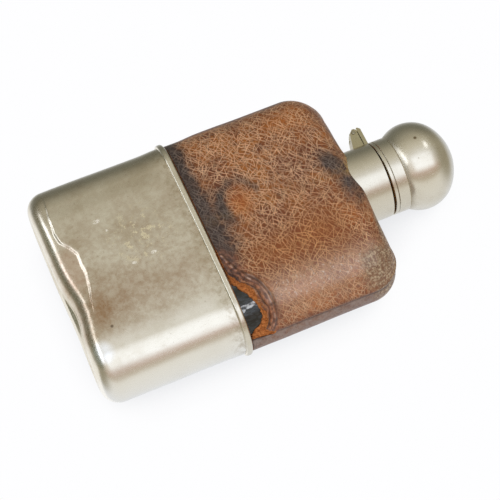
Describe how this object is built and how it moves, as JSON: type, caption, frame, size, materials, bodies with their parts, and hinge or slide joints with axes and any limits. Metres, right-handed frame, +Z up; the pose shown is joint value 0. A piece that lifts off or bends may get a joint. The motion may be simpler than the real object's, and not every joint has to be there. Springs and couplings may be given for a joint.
{
  "type": "hip flask",
  "caption": "Flat glass hip flask with a brown leather cover on its upper half, a removable plated drinking cup over its base and a hinged bayonet cap with a ball top.",
  "frame": {"origin": "centre of the cup's base, on the plane it stands on", "axes": "+Z up through the neck, -Y out of the front face, hinge on the -X side"},
  "size_m": [0.082, 0.0308, 0.142],
  "materials": {
    "silver_plate": "polished, tarnished and finely scratched",
    "brown_leather": "crackled, worn hide",
    "dark_glass": "clear glass, dark where seen through the torn cover",
    "brass_inner": "dull brass with worn plating",
    "steel_pin": "satin",
    "white_cement": "matte plaster",
    "cork": "pressed cork"
  },
  "bodies": {
    "bottle": {"glass_bottle": "dark_glass", "leather_front": "brown_leather", "leather_back": "brown_leather", "neck_collar": "silver_plate", "mouth_ring": "brass_inner", "collar_cement": "white_cement", "hinge_ears": "silver_plate", "hinge_pin": "steel_pin"},
    "cup": {"cup_shell": "silver_plate", "cup_bead": "silver_plate"},
    "lid": {"swivel_ring": "silver_plate", "hinge_leaf": "silver_plate"},
    "cap": {"cap_band": "silver_plate", "cap_dome": "silver_plate", "bayonet_sleeve": "brass_inner", "retaining_ring": "brass_inner", "cap_floor": "brass_inner", "cork_seal": "cork", "seal_washer": "silver_plate", "seal_rivet": "silver_plate"}
  },
  "joints": [
    {"name": "cup_slide", "type": "slide", "parent": "bottle", "child": "cup", "axis": [0, 0, -1], "range_m": [0, 0.07]},
    {"name": "lid_hinge", "type": "hinge", "parent": "bottle", "child": "lid", "pos_m": [-0.0189, 0, 0.1143], "axis": [0, -1, 0], "range_deg": [0, 100]},
    {"name": "cap_twist", "type": "hinge", "parent": "lid", "child": "cap", "pos_m": [0, 0, 0.1166], "axis": [0, 0, -1], "range_deg": [0, 80]}
  ]
}
